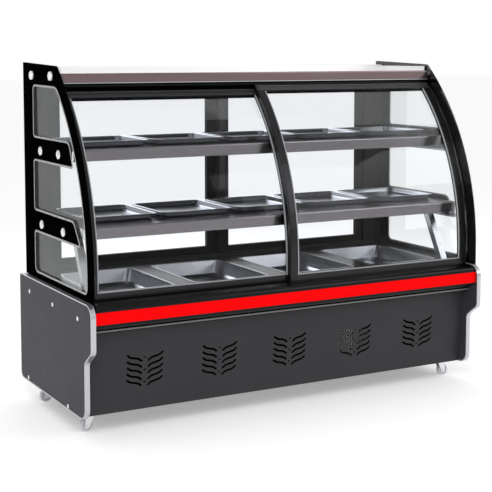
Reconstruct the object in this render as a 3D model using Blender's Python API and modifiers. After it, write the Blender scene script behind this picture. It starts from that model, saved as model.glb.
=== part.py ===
"""Refrigerated deli case with curved sliding front doors, two steel shelves, a pan deck and a condensing unit.

Metres, +Z up. X runs along the length, -Y is the customer's side and +Y the server's side.
The origin is on the floor, under the middle of the case.
"""

import math

import bmesh
import bpy
from mathutils import Matrix

# Overall sizes
LENGTH = 1.800
DEPTH = 0.804
HEIGHT = 1.400
FIT = 0.0004  # gap between pieces that touch
RUN = 0.0015  # gap beside pieces that slide

# End panels, their edge trim and the side glass that stands just inside them
PANEL_THICK = 0.0195
BOARD_SINK = 0.001  # the board's face lies this far behind the trim's edge
PANEL_BOTTOM = 0.0775
PANEL_TOP = 0.522
STEP_DEPTH = 0.068  # how far the lower front edge sits behind the upper one
STEP_TOP = 0.345
STEP_BOTTOM = 0.295
TRIM_THICK = 0.005
SIDE_GLASS_THICK = 0.008
GLASS_FRONT_INSET = 0.011
GLASS_BACK_INSET = 0.027
GLASS_TOP_SLOPE = 0.0135  # how much lower the glass's top edge is at its front end
ARC_BASE = 0.602  # height where the upright front starts to curve back
TOP_SETBACK = 0.3737  # how far the curve has come back at full height

# Front doors, measured square to the curved glass line
DOOR_RECESS = 0.058
DOOR_THICK = 0.018
DOOR_GAP = 0.005
FRONT_STILE = 0.035
FRONT_RAIL = 0.030
TOP_RAIL = 0.047
DOOR_GLASS = 0.005
GLASS_BITE = 0.008

# Front sill, red strip and lower front panel
SILL_BOTTOM = 0.404
SILL_FRONT_INSET = 0.0125
SILL_TUCK = 0.047  # how far the sill's foot sits behind its face
SILL_FOOT = 0.011
TRACK_FLOOR = 0.516
TRACK_LIP = 0.0065
STRIP_LOW = 0.4466
STRIP_HIGH = 0.4929
STRIP_THICK = 0.003
FRONT_PANEL_INSET = 0.1208  # at its bottom edge
PANEL_LEAN = 0.0868  # how far it comes forward per unit of height
SHEET = 0.002

# Vents in the lower front panel
VENT_GROUPS = 5
VENT_PITCH = 0.3208
VENT_MIDDLE = 0.235
VENT_ROWS = 5
VENT_ROW_PITCH = 0.0243
SLOT_START = 0.0135
SLOT_END = 0.0735
SLOT_RISE = 0.028
SLOT_WIDTH = 0.0085
HOLE_RADIUS = 0.004

# Insulated tank, liner, deck and pans
TANK_BOTTOM = 0.315
TANK_TOP = 0.496
TANK_WALL = 0.040
LINER = 0.0015
DECK_TOP = 0.530
PAN_COUNT = 4
PAN_PITCH = 0.424
PAN_WIDTH = 0.345
PAN_LENGTH = 0.450
PAN_RIM = 0.011
PAN_DEPTH = 0.062
PAN_TAPER = 0.014
PAN_SHEET = 0.001
PAN_CENTRE_Y = 0.010

# Shelves and what carries them
UPPER_SHELF = 1.072
LOWER_SHELF = 0.7886
FASCIA = 0.046
SHELF_CLEARANCE = 0.012
SHELF_END_GAP = 0.008
POST_WIDTH = 0.025
POST_DEPTH = 0.026
BOLT_RADIUS = 0.004
CAP_RADIUS = 0.018
CAP_HEIGHT = 0.0095
UPPER_BOLTS = (0.161, -0.045)
LOWER_BOLTS = (0.156, -0.087)
TOP_BOLTS = (0.262, 0.039)
STRUT_WIDTH = 0.030
STRUT_DEPTH = 0.034
STRUT_FOOT_Y = -0.212
STRUT_SLOPE = 0.540

# Top: header, glass-top panel and lamp
HEADER_HEIGHT = 0.0365
HEADER_DROP = 0.042  # below the top of the side glass
TOP_PANEL_DROP = 0.0625
TOP_WALL_DROP = 0.023
LAMP_LENGTH = 1.600

# Rear frame and its two doors
FRAME_DEPTH = 0.0625
FRAME_TOP_DROP = 0.020
JAMB = 0.102
REAR_OPENING_LOW = 0.542
REAR_OPENING_DROP = 0.085
CHANNEL_BITE = 0.016
CHANNEL_RISE = 0.020
CHANNEL_WIDTH = 0.023
REAR_DOOR_THICK = 0.020
REAR_STILE = 0.050
REAR_OVERLAP = 0.003
REAR_PANEL_INSET = 0.0225

# Base frame and casters
BASE_BOTTOM = 0.090
BASE_HEIGHT = 0.0265
BASE_BAR = 0.030
CASTER_PLATE = 0.003
CASTER_X_INSET = 0.070
CASTER_FRONT_Y = -0.206
CASTER_BACK_Y = 0.250
WHEEL_RADIUS = 0.025
WHEEL_WIDTH = 0.018
TRAIL = 0.018
AXLE_RADIUS = 0.004
AXLE_PLAY = 0.00008

# Condensing unit
FAN_RADIUS = 0.074
COMPRESSOR_RADIUS = 0.072
UNIT_X = VENT_PITCH
PIPE_RADIUS = 0.006
PIPE_X = 0.600
PIPE_Y = 0.120

# Values worked out from the ones above
HALF = LENGTH / 2
FRONT = -DEPTH / 2
BACK = DEPTH / 2
BETWEEN = HALF - PANEL_THICK - FIT  # half width left between the end panels
GLASS_OUT = BETWEEN
GLASS_IN = GLASS_OUT - SIDE_GLASS_THICK
INSIDE = GLASS_IN - FIT  # half width left between the side glasses
GLASS_FRONT = FRONT + GLASS_FRONT_INSET
GLASS_BACK = BACK - GLASS_BACK_INSET
ARC_RISE = HEIGHT - ARC_BASE
ARC_RADIUS = (ARC_RISE**2 + TOP_SETBACK**2) / (2 * TOP_SETBACK)
ARC_Y = GLASS_FRONT + ARC_RADIUS
OUTER_DOOR = ARC_RADIUS - DOOR_RECESS  # outside radius of the door on the outer track
INNER_DOOR = OUTER_DOOR - DOOR_THICK - DOOR_GAP
HEADER_TOP = HEIGHT - HEADER_DROP
HEADER_BOTTOM = HEADER_TOP - HEADER_HEIGHT
DOOR_TOP_ANGLE = math.asin((HEADER_BOTTOM - 0.009 - ARC_BASE) / OUTER_DOOR)
DOOR_LOW = TRACK_FLOOR + RUN
DOOR_SPAN = INSIDE - FIT
TOP_PANEL = HEIGHT - TOP_PANEL_DROP
FRAME_FRONT = GLASS_BACK - FRAME_DEPTH
FRONT_PANEL = FRONT + FRONT_PANEL_INSET
REAR_PANEL = BACK - REAR_PANEL_INSET
TANK_BACK = REAR_PANEL - SHEET - FIT
BASE_TOP = BASE_BOTTOM + BASE_HEIGHT
SHELF_BACK = FRAME_FRONT - POST_DEPTH - 2 * FIT
ARC_STEPS = 12
ROUND = 20

PARTS = None
CUTTERS = None


# ---------------------------------------------------------------- helpers


def start_scene():
    global PARTS, CUTTERS
    for obj in list(bpy.data.objects):
        bpy.data.objects.remove(obj, do_unlink=True)
    PARTS = bpy.data.collections.new("deli_case")
    CUTTERS = bpy.data.collections.new("cutters")
    for collection in (PARTS, CUTTERS):
        bpy.context.scene.collection.children.link(collection)


def material(name, colour, roughness, metallic=0.0, alpha=1.0):
    found = bpy.data.materials.get(name)
    if found:
        return found
    made = bpy.data.materials.new(name)
    made.use_nodes = True
    shader = made.node_tree.nodes["Principled BSDF"]
    shader.inputs["Base Color"].default_value = (*colour, 1.0)
    shader.inputs["Roughness"].default_value = roughness
    shader.inputs["Metallic"].default_value = metallic
    shader.inputs["Alpha"].default_value = alpha
    return made


def dark_paint():
    return material("dark_paint", (0.06, 0.06, 0.065), 0.45)


def black_profile():
    return material("black_profile", (0.015, 0.015, 0.016), 0.3, 0.6)


def steel():
    return material("steel", (0.62, 0.62, 0.63), 0.28, 1.0)


def bright_trim():
    return material("bright_trim", (0.75, 0.75, 0.77), 0.3, 0.8)


def clear_glass():
    return material("clear_glass", (0.9, 0.95, 0.94), 0.03, 0.0, 0.25)


def add(name, data, finish=None):
    """A new object for a mesh or curve, in the collection of parts."""
    obj = bpy.data.objects.new(name, data)
    PARTS.objects.link(obj)
    if finish:
        data.materials.append(finish)
    return obj


def add_bmesh(name, bm, finish=None):
    mesh = bpy.data.meshes.new(name)
    bm.to_mesh(mesh)
    bm.free()
    return add(name, mesh, finish)


def box(name, low, high, finish=None):
    """A block between two corners, with its origin at its middle."""
    size = [b - a for a, b in zip(low, high)]
    bm = bmesh.new()
    bmesh.ops.create_cube(bm, size=1.0)
    bmesh.ops.scale(bm, vec=size, verts=bm.verts)
    obj = add_bmesh(name, bm, finish)
    obj.location = [(a + b) / 2 for a, b in zip(low, high)]
    return obj


def open_box(name, low, high, thickness, open_sides, finish):
    """A folded sheet: a box without the listed sides, its wall growing inwards."""
    obj = box(name, low, high, finish)
    bm = bmesh.new()
    bm.from_mesh(obj.data)
    gone = [f for f in bm.faces if any(f.normal.dot(side) > 0.9 for side in open_sides)]
    bmesh.ops.delete(bm, geom=gone, context="FACES")
    bm.to_mesh(obj.data)
    bm.free()
    solid = obj.modifiers.new("Wall", "SOLIDIFY")
    solid.thickness = thickness
    solid.offset = -1
    solid.use_even_offset = True
    return obj


TURNS = {
    "X": (math.pi / 2, 0, math.pi / 2),
    "Y": (math.pi / 2, 0, 0),
    "Z": (0, 0, 0),
}


def prism(name, outline, axis, start, end, finish=None, holes=()):
    """A flat outline drawn square to an axis and filled from start to end along it.

    The outline is in (Y, Z) for axis X, in (X, Z) for axis Y and in (X, Y) for axis Z.
    """
    curve = bpy.data.curves.new(name, "CURVE")
    curve.dimensions = "2D"
    curve.fill_mode = "BOTH"
    curve.extrude = (end - start) / 2
    for loop in (outline, *holes):
        spline = curve.splines.new("POLY")
        spline.points.add(len(loop) - 1)
        for point, (u, v) in zip(spline.points, loop):
            point.co = (u, v, 0, 1)
        spline.use_cyclic_u = True
    obj = add(name, curve, finish)
    obj.rotation_euler = TURNS[axis]
    obj.location["XYZ".index(axis)] = (start + end) / 2
    return obj


def as_mesh(obj):
    """The same piece as a welded mesh, so that it can be cut, joined or be a cutter."""
    name = obj.name
    bpy.context.view_layer.update()
    graph = bpy.context.evaluated_depsgraph_get()
    mesh = bpy.data.meshes.new_from_object(obj.evaluated_get(graph))
    bm = bmesh.new()
    bm.from_mesh(mesh)
    bmesh.ops.remove_doubles(bm, verts=bm.verts, dist=1e-5)
    bmesh.ops.recalc_face_normals(bm, faces=bm.faces)
    bm.to_mesh(mesh)
    bm.free()
    matrix = obj.matrix_world.copy()
    bpy.data.objects.remove(obj, do_unlink=True)
    made = bpy.data.objects.new(name, mesh)
    PARTS.objects.link(made)
    made.matrix_world = matrix
    return made


def combine(target, operation, others):
    for other in others:
        if other.type != "MESH":
            other = as_mesh(other)
        PARTS.objects.unlink(other)
        CUTTERS.objects.link(other)
        other.hide_render = True
        other.display_type = "WIRE"
        change = target.modifiers.new(other.name, "BOOLEAN")
        change.operation = operation
        change.solver = "EXACT"
        change.object = other
    return target


def cut(target, *cutters):
    return combine(target, "DIFFERENCE", cutters)


def join(target, *pieces):
    return combine(target, "UNION", pieces)


def rod(name, radius, start, end, finish=None, segments=ROUND):
    """A straight round bar between two points."""
    along = [b - a for a, b in zip(start, end)]
    bm = bmesh.new()
    length = math.dist(start, end)
    bmesh.ops.create_cone(
        bm, cap_ends=True, segments=segments, radius1=radius, radius2=radius, depth=length
    )
    obj = add_bmesh(name, bm, finish)
    if abs(along[0]) > length / 2:
        obj.rotation_euler = (0, math.pi / 2, 0)
    elif abs(along[1]) > length / 2:
        obj.rotation_euler = (math.pi / 2, 0, 0)
    obj.location = [(a + b) / 2 for a, b in zip(start, end)]
    return obj


def turned(name, profile, finish, steps=ROUND):
    """A solid of revolution about local Z from (radius, height) points, listed from the top down."""
    bm = bmesh.new()
    verts = [bm.verts.new((radius, 0, height)) for radius, height in profile]
    for first, second in zip(verts, verts[1:]):
        bm.edges.new((first, second))
    obj = add_bmesh(name, bm, finish)
    spin = obj.modifiers.new("Turn", "SCREW")
    spin.steps = steps
    spin.render_steps = steps
    spin.use_merge_vertices = True
    spin.merge_threshold = 0.00001
    return obj


def smooth(obj, degrees=35):
    obj.data.shade_smooth()
    obj.data.set_sharp_from_angle(angle=math.radians(degrees))
    return obj


def rounded(corners, steps=5):
    """An outline from (u, v, radius) corners, each radius made an arc."""
    points = []
    for i, (u, v, radius) in enumerate(corners):
        if radius == 0:
            points.append((u, v))
            continue
        before = corners[i - 1]
        after = corners[(i + 1) % len(corners)]
        back = math.atan2(before[1] - v, before[0] - u)
        on = math.atan2(after[1] - v, after[0] - u)
        turn = (on - back + math.pi) % (2 * math.pi) - math.pi
        reach = radius / math.tan(abs(turn) / 2)
        middle = back + turn / 2
        far = radius / math.sin(abs(turn) / 2)
        centre = (u + far * math.cos(middle), v + far * math.sin(middle))
        first = (u + reach * math.cos(back), v + reach * math.sin(back))
        sweep = math.copysign(math.pi - abs(turn), -turn)
        angle = math.atan2(first[1] - centre[1], first[0] - centre[0])
        for k in range(steps + 1):
            a = angle + sweep * k / steps
            points.append((centre[0] + radius * math.cos(a), centre[1] + radius * math.sin(a)))
    return points


def inset(points, distance):
    """The outline moved inwards by a distance; the points run anticlockwise."""
    moved = []
    for i, (u, v) in enumerate(points):
        before = points[i - 1]
        after = points[(i + 1) % len(points)]
        first = math.atan2(v - before[1], u - before[0])
        second = math.atan2(after[1] - v, after[0] - u)
        turn = (second - first + math.pi) % (2 * math.pi) - math.pi
        normal = first + turn / 2 + math.pi / 2
        reach = distance / math.cos(turn / 2)
        moved.append((u + reach * math.cos(normal), v + reach * math.sin(normal)))
    return moved


def rectangle(u0, v0, u1, v1):
    return [(u0, v0), (u1, v0), (u1, v1), (u0, v1)]


def mirrored(outline):
    return [(-u, v) for u, v in reversed(outline)]


# ---------------------------------------------------------------- the curved front


def curve_y(radius, z):
    """Y of the front surface of this radius at height z."""
    rise = max(0.0, z - ARC_BASE)
    return ARC_Y - math.sqrt(radius**2 - rise**2)


def polar(radius, angle):
    return (ARC_Y - radius * math.cos(angle), ARC_BASE + radius * math.sin(angle))


def front_line(radius, low, top_angle, steps=ARC_STEPS):
    """Points up the front: straight from low to the arc's base, then round to the top angle."""
    arc = [polar(radius, top_angle * k / steps) for k in range(steps + 1)]
    return [(ARC_Y - radius, low), *arc]


def curved_slab(name, radius, thickness, low, top_angle, x0, x1, finish=None):
    outside = front_line(radius, low, top_angle)
    inside = front_line(radius - thickness, low, top_angle)
    return prism(name, outside[::-1] + inside, "X", x0, x1, finish)


def front_door(name, radius, x0, x1):
    """One curved door: a frame with a groove all round its opening, and the glass in that groove."""
    frame = as_mesh(
        curved_slab(name + "_frame", radius, DOOR_THICK, DOOR_LOW, DOOR_TOP_ANGLE, x0, x1, black_profile())
    )
    low = DOOR_LOW + FRONT_RAIL
    high = DOOR_TOP_ANGLE - TOP_RAIL / radius
    left = x0 + FRONT_STILE
    right = x1 - FRONT_STILE
    opening = curved_slab(name + "_opening", radius + 0.01, DOOR_THICK + 0.02, low, high, left, right)
    face = radius - (DOOR_THICK - DOOR_GLASS) / 2

    def pane(label, grow, extra, finish=None):
        return curved_slab(
            label, face + extra / 2, DOOR_GLASS + extra, low - grow, high + grow / radius,
            left - grow, right + grow, finish,
        )

    cut(frame, opening, pane(name + "_groove", GLASS_BITE, 2 * FIT))
    pane(name + "_glass", GLASS_BITE - FIT, 0, clear_glass())


def front_doors():
    meet = FRONT_STILE / 2
    front_door("front_door_right", OUTER_DOOR, -meet, DOOR_SPAN)
    front_door("front_door_left", INNER_DOOR, -DOOR_SPAN, meet)


def front_top_track():
    """An E-shaped rail: a web above both doors and three ribs that hang over their edges."""
    web = DOOR_TOP_ANGLE + 0.0025 / OUTER_DOOR
    top = web + 0.016 / OUTER_DOOR
    lip = DOOR_TOP_ANGLE - 0.015 / OUTER_DOOR
    first = (OUTER_DOOR + RUN + 0.007, OUTER_DOOR + RUN)
    second = (OUTER_DOOR - DOOR_THICK - 0.0012, INNER_DOOR + 0.0012)
    third = (INNER_DOOR - DOOR_THICK - RUN, INNER_DOOR - DOOR_THICK - RUN - 0.0075)
    outline = [polar(first[0], top)]
    for outer, inner in (first, second, third):
        if outline[1:]:
            outline.append(polar(outer, web))
        outline += [polar(outer, lip), polar(inner, lip)]
        if inner != third[1]:
            outline.append(polar(inner, web))
    outline.append(polar(third[1], top))
    prism("front_top_track", outline, "X", -INSIDE, INSIDE, black_profile())


def above_the_tank(name):
    """Two blocks over the tank's ends, where the side glasses stand."""
    blocks = []
    for sign in (-1, 1):
        x0, x1 = sorted((sign * INSIDE, sign * (BETWEEN + 0.01)))
        blocks.append(box(name + "_end", (x0, FRONT, TANK_TOP), (x1, BACK, TANK_TOP + 0.1)))
    return blocks


def front_sill():
    """The hollow black extrusion under the front doors: two tracks, a shoulder, a strip groove and a foot."""
    face = FRONT + SILL_FRONT_INSET
    outer = ARC_Y - OUTER_DOOR
    inner = ARC_Y - INNER_DOOR
    floor = TRACK_FLOOR
    lip = floor + TRACK_LIP
    rear_rib = inner + DOOR_THICK + RUN
    rib = outer + DOOR_THICK + 0.0012
    foot = face + SILL_TUCK
    ramp = STRIP_LOW - 0.004
    outline = rounded(
        [
            (sill_back(SILL_BOTTOM), SILL_BOTTOM, 0),
            (sill_back(TANK_TOP), TANK_TOP + FIT, 0),
            (rear_rib + 0.0075, TANK_TOP + FIT, 0),
            (rear_rib + 0.0075, lip, 0),
            (rear_rib, lip, 0),
            (rear_rib, floor, 0),
            (inner - 0.0012, floor, 0),
            (inner - 0.0012, lip, 0),
            (rib, lip, 0),
            (rib, floor, 0),
            (outer - RUN, floor, 0),
            (outer - RUN, lip, 0),
            (outer - 0.012, lip, 0),
            (face, lip - 0.008, 0.020),
            (face, STRIP_HIGH, 0),
            (face + STRIP_THICK, STRIP_HIGH, 0),
            (face + STRIP_THICK, STRIP_LOW, 0),
            (face, STRIP_LOW, 0),
            (face, ramp, 0.003),
            (foot + 0.001, SILL_BOTTOM + SILL_FOOT + 0.0015, 0),
            (foot - 0.0015, SILL_BOTTOM + SILL_FOOT, 0),
            (foot - 0.0015, SILL_BOTTOM, 0.003),
        ]
    )
    wall = 0.004
    slope = (ramp - SILL_BOTTOM - SILL_FOOT) / SILL_TUCK
    near = face + STRIP_THICK + wall
    far = foot + wall
    hollow = [
        (far, SILL_BOTTOM + wall),
        (sill_back(SILL_BOTTOM) - wall, SILL_BOTTOM + wall),
        (sill_back(TANK_TOP) - wall, floor - wall),
        (outer - 0.010, floor - wall),
        (near, STRIP_HIGH - 0.002),
        (near, ramp - slope * (near - face) + 1.3 * wall),
        (far, ramp - slope * (far - face) + 1.3 * wall),
    ]
    sill = as_mesh(prism("front_sill", outline, "X", -BETWEEN, BETWEEN, black_profile(), [hollow]))
    cut(sill, *above_the_tank("sill"))
    strip = rectangle(
        face - 0.001, STRIP_LOW + FIT, face + STRIP_THICK - FIT, STRIP_HIGH - FIT
    )
    red = material("red_strip", (0.8, 0.0, 0.01), 0.3)
    prism("red_strip", strip, "X", -BETWEEN, BETWEEN, red)


# ---------------------------------------------------------------- ends


def end_outline():
    """The end panel's outline with its trim, seen from +X."""
    low_front = FRONT + STEP_DEPTH
    return rounded(
        [
            (BACK, PANEL_BOTTOM, 0.030),
            (BACK, PANEL_TOP, 0.015),
            (FRONT, PANEL_TOP, 0.047),
            (FRONT, STEP_TOP, 0.030),
            (low_front, STEP_BOTTOM, 0.030),
            (low_front, PANEL_BOTTOM, 0.045),
        ],
        steps=6,
    )


def side_glass_outline():
    top_angle = math.asin((ARC_RISE - GLASS_TOP_SLOPE) / ARC_RADIUS)
    start = top_angle - 0.020
    arc = [(*polar(ARC_RADIUS, start * (1 - k / ARC_STEPS)), 0) for k in range(ARC_STEPS + 1)]
    low = TANK_TOP + FIT
    return rounded(
        [
            (GLASS_BACK, low, 0.003),
            (GLASS_BACK, HEIGHT, 0.006),
            (*polar(ARC_RADIUS, top_angle), 0.030),
            *arc,
            (GLASS_FRONT, low, 0.012),
        ],
        steps=4,
    )


def bolt_places():
    """(Y, Z) of the six clamp bolts on each side."""
    places = [(y, TOP_PANEL + 0.009) for y in TOP_BOLTS]
    places += [(y, UPPER_SHELF - FASCIA * 0.53) for y in UPPER_BOLTS]
    places += [(y, LOWER_SHELF - FASCIA * 0.79) for y in LOWER_BOLTS]
    return places


def ends():
    outline = end_outline()
    board = inset(outline, TRIM_THICK + FIT)
    for side, sign in (("left", -1), ("right", 1)):
        x0, x1 = sorted((sign * (HALF - PANEL_THICK), sign * HALF))
        b0, b1 = sorted((sign * (HALF - PANEL_THICK), sign * (HALF - BOARD_SINK)))
        prism("end_panel_" + side, board, "X", b0, b1, dark_paint())
        prism("end_trim_" + side, outline, "X", x0, x1, bright_trim(), [inset(outline, TRIM_THICK)])
        g0, g1 = sorted((sign * GLASS_IN, sign * GLASS_OUT))
        glass = as_mesh(prism("side_glass_" + side, side_glass_outline(), "X", g0, g1, clear_glass()))
        for i, (y, z) in enumerate(bolt_places()):
            hole = rod(f"{side}_hole_{i}", BOLT_RADIUS + FIT, (g0 - 0.01, y, z), (g1 + 0.01, y, z), None, 12)
            cut(glass, hole)


# ---------------------------------------------------------------- lower body


def panel_y(z):
    """Y of the leaning lower front panel's face at height z."""
    return FRONT_PANEL - PANEL_LEAN * (z - PANEL_BOTTOM)


def sill_back(z):
    return panel_y(z) - 2 * FIT


def tank_y(z):
    return panel_y(z) + SHEET + 2 * FIT


def lean(obj):
    """A piece made upright at FRONT_PANEL, sheared to follow the leaning panel."""
    shear = Matrix.Identity(4)
    shear[1][2] = -PANEL_LEAN
    shear[1][3] = PANEL_LEAN * PANEL_BOTTOM
    obj.data.transform(shear @ obj.matrix_basis)
    obj.matrix_basis = Matrix.Identity(4)
    return obj


def slot(side, row):
    """One S-shaped vent slot of a group: steep at both ends and flatter in between."""
    steps = 5
    line = []
    for k in range(steps + 1):
        s = 2 * k / steps - 1
        along = SLOT_START + (SLOT_END - SLOT_START) * k / steps
        line.append((along, row * VENT_ROW_PITCH + SLOT_RISE * (0.16 * s + 0.34 * s**3)))
    half = SLOT_WIDTH / 2
    upper = []
    lower = []
    for k, (u, v) in enumerate(line):
        a = line[max(k - 1, 0)]
        b = line[min(k + 1, steps)]
        angle = math.atan2(b[1] - a[1], b[0] - a[0])
        upper.append((u - half * math.sin(angle), v + half * math.cos(angle)))
        lower.append((u + half * math.sin(angle), v - half * math.cos(angle)))
    ends_ = ((line[0][0] - half, line[0][1]), (line[-1][0] + half, line[-1][1]))
    outline = [ends_[0], *lower, ends_[1], *reversed(upper)]
    return outline if side > 0 else mirrored(outline)


def circle(u, v, radius, steps=8):
    return [
        (u + radius * math.cos(2 * math.pi * k / steps), v + radius * math.sin(2 * math.pi * k / steps))
        for k in range(steps)
    ]


def vent_holes():
    holes = []
    for group in range(VENT_GROUPS):
        middle = (group - (VENT_GROUPS - 1) / 2) * VENT_PITCH
        rows = [row - (VENT_ROWS - 1) / 2 for row in range(VENT_ROWS)]
        for row in rows:
            for side in (-1, 1):
                holes.append([(u + middle, v + VENT_MIDDLE) for u, v in slot(side, row)])
        for row in rows[::2]:
            holes.append(circle(middle, VENT_MIDDLE + row * VENT_ROW_PITCH, HOLE_RADIUS))
    return holes


def front_panel():
    """The vented lower front with a folded-back flange along its bottom."""
    outline = rectangle(-BETWEEN, PANEL_BOTTOM + 0.002, BETWEEN, TANK_TOP - 0.002)
    front = FRONT_PANEL
    panel = as_mesh(prism("front_panel", outline, "Y", front, front + SHEET, dark_paint(), vent_holes()))
    flange = box(
        "front_panel_flange",
        (-BETWEEN, front + SHEET / 2, PANEL_BOTTOM + 0.002),
        (BETWEEN, front + 0.012, PANEL_BOTTOM + 0.002 + SHEET),
    )
    join(lean(panel), lean(flange))


def base_frame():
    """Welded bars, four corner posts under the tank and four caster plates, with a floor sheet on the bars."""
    front = tank_y(BASE_BOTTOM)
    bar_top = BASE_TOP - SHEET - FIT
    frame = box(
        "base_frame", (-BETWEEN, front, BASE_BOTTOM), (BETWEEN, TANK_BACK, bar_top), dark_paint()
    )
    sheet = box(
        "floor_sheet", (-BETWEEN, front, BASE_TOP - SHEET), (BETWEEN, TANK_BACK, BASE_TOP), dark_paint()
    )
    bays = 3
    clear = (2 * BETWEEN - (bays + 1) * BASE_BAR) / bays
    for i in range(bays):
        x = -BETWEEN + BASE_BAR + i * (clear + BASE_BAR)
        cut(
            frame,
            box(
                f"bay_{i}",
                (x, front + BASE_BAR, BASE_BOTTOM - 0.01),
                (x + clear, TANK_BACK - BASE_BAR, bar_top + 0.01),
            ),
        )
    post = BASE_BAR - 0.004
    for sx in (-1, 1):
        for y in (front + 0.002, TANK_BACK - 0.002 - post):
            x0, x1 = sorted((sx * (BETWEEN - 0.002), sx * (BETWEEN - 0.002 - post)))
            join(frame, box("post", (x0, y, bar_top - 0.008), (x1, y + post, TANK_BOTTOM - FIT)))
            n0, n1 = sorted((sx * (BETWEEN + 0.01), sx * (BETWEEN - 0.002 - post - FIT)))
            corner = (y - 0.01, y + post + FIT) if y < 0 else (y - FIT, y + post + 0.01)
            cut(sheet, box("corner", (n0, corner[0], BASE_TOP - 0.01), (n1, corner[1], BASE_TOP + 0.01)))
    for x, y in caster_places():
        plate = box(
            "plate",
            (x - 0.032, y - 0.028, BASE_BOTTOM - CASTER_PLATE),
            (x + 0.032, y + 0.028, BASE_BOTTOM + 0.002),
        )
        join(frame, plate)


def tank():
    """Foam-filled tank, its steel liner and the sheet deck that the pans hang in."""
    half = INSIDE - TANK_WALL
    front = tank_y(TANK_BOTTOM) + TANK_WALL
    back = FRAME_FRONT
    floor = TANK_BOTTOM + TANK_WALL
    skin = material("galvanised", (0.5, 0.51, 0.52), 0.45, 0.7)
    outline = [
        (tank_y(TANK_BOTTOM), TANK_BOTTOM),
        (TANK_BACK, TANK_BOTTOM),
        (TANK_BACK, TANK_TOP),
        (tank_y(TANK_TOP), TANK_TOP),
    ]
    body = as_mesh(prism("insulated_tank", outline, "X", -BETWEEN, BETWEEN, skin))
    cut(body, box("tank_pocket", (-half, front, floor), (half, back, TANK_TOP + 0.01)))
    liner = open_box(
        "tank_liner", (-half + FIT, front + FIT, floor + FIT), (half - FIT, back - FIT, TANK_TOP),
        LINER, [(0, 0, 1)], steel(),
    )
    for piece in (body, liner):
        low, high = (PIPE_X, PIPE_Y, TANK_BOTTOM - 0.01), (PIPE_X, PIPE_Y, floor + 0.01)
        cut(piece, rod(piece.name + "_pipe_hole", PIPE_RADIUS + 0.003, low, high, None, 12))


def pan_centres():
    return [(i - (PAN_COUNT - 1) / 2) * PAN_PITCH for i in range(PAN_COUNT)]


def deck():
    front = curve_y(INNER_DOOR - DOOR_THICK, DECK_TOP) + 0.011
    plate = open_box(
        "deck_plate", (-INSIDE, front, TANK_TOP + 2 * FIT), (INSIDE, FRAME_FRONT - FIT, DECK_TOP),
        SHEET, [(0, 0, -1)], steel(),
    )
    half_w = PAN_WIDTH / 2 - PAN_RIM + RUN
    half_l = PAN_LENGTH / 2 - PAN_RIM + RUN
    for i, x in enumerate(pan_centres()):
        hole = rounded_rectangle(half_w, half_l, 0.025)
        hole = [(u + x, v + PAN_CENTRE_Y) for u, v in hole]
        cut(plate, prism(f"pan_hole_{i}", hole, "Z", DECK_TOP - 0.01, DECK_TOP + 0.01))


def rounded_rectangle(half_u, half_v, radius, steps=4):
    return rounded(
        [(half_u, -half_v, radius), (half_u, half_v, radius), (-half_u, half_v, radius), (-half_u, -half_v, radius)],
        steps,
    )


def loft(bm, loops):
    """Faces between successive closed loops of the same number of points, and a floor on the last one."""
    rings = [[bm.verts.new(point) for point in loop] for loop in loops]
    for upper, lower in zip(rings, rings[1:]):
        for i in range(len(upper)):
            j = (i + 1) % len(upper)
            bm.faces.new((upper[i], upper[j], lower[j], lower[i]))
    bm.faces.new(rings[-1])


def deck_pans():
    """Rimmed pans with tapered walls and round corners, hung in the deck by their rims."""
    levels = [
        (0.0, 0.0, 0.028),
        (PAN_RIM, 0.0, 0.022),
        (PAN_RIM + PAN_TAPER * 0.8, -PAN_DEPTH * 0.86, 0.030),
        (PAN_RIM + PAN_TAPER + 0.008, -PAN_DEPTH, 0.030),
    ]
    for i, x in enumerate(pan_centres()):
        bm = bmesh.new()
        loops = []
        for inward, z, radius in levels:
            ring = rounded_rectangle(PAN_WIDTH / 2 - inward, PAN_LENGTH / 2 - inward, radius)
            loops.append([(u, v, z) for u, v in ring])
        loft(bm, loops)
        bmesh.ops.recalc_face_normals(bm, faces=bm.faces)
        if sum(face.normal.z * face.calc_area() for face in bm.faces) < 0:
            bmesh.ops.reverse_faces(bm, faces=bm.faces)
        pan = add_bmesh(f"deck_pan_{i + 1}", bm, steel())
        wall = pan.modifiers.new("Sheet", "SOLIDIFY")
        wall.thickness = PAN_SHEET
        wall.offset = -1
        pan.location = (x, PAN_CENTRE_Y, DECK_TOP + PAN_SHEET + FIT)


# ---------------------------------------------------------------- shelves


def shelf(name, top):
    front = curve_y(INNER_DOOR - DOOR_THICK, top) + SHELF_CLEARANCE
    low = top - FASCIA
    outline = rounded(
        [
            (front + 0.014, low, 0),
            (front + 0.014, low + SHEET, 0),
            (front + SHEET, low + SHEET, 0),
            (front + SHEET, top - SHEET, 0),
            (SHELF_BACK - SHEET, top - SHEET, 0),
            (SHELF_BACK - SHEET, low + 0.012, 0),
            (SHELF_BACK, low + 0.012, 0),
            (SHELF_BACK, top, 0.003),
            (front, top, 0.006),
            (front, low, 0.002),
        ],
        3,
    )
    half = GLASS_IN - SHELF_END_GAP
    prism(name, outline, "X", -half, half, steel())
    return front


def clamp_bolt(name, sign, y, z, inner, finish):
    """A stud from the bracket through the side glass, with a domed cap outside."""
    start = GLASS_OUT + FIT
    cap = turned(
        name,
        [
            (0.0, start + CAP_HEIGHT),
            (CAP_RADIUS * 0.72, start + CAP_HEIGHT),
            (CAP_RADIUS * 0.94, start + CAP_HEIGHT * 0.8),
            (CAP_RADIUS, start + CAP_HEIGHT * 0.5),
            (CAP_RADIUS, start),
            (BOLT_RADIUS, start),
            (BOLT_RADIUS, inner),
            (0.0, inner),
        ],
        finish,
        steps=16,
    )
    cap.rotation_euler = (0, sign * math.pi / 2, 0)
    cap.location = (0, y, z)
    return cap


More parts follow.
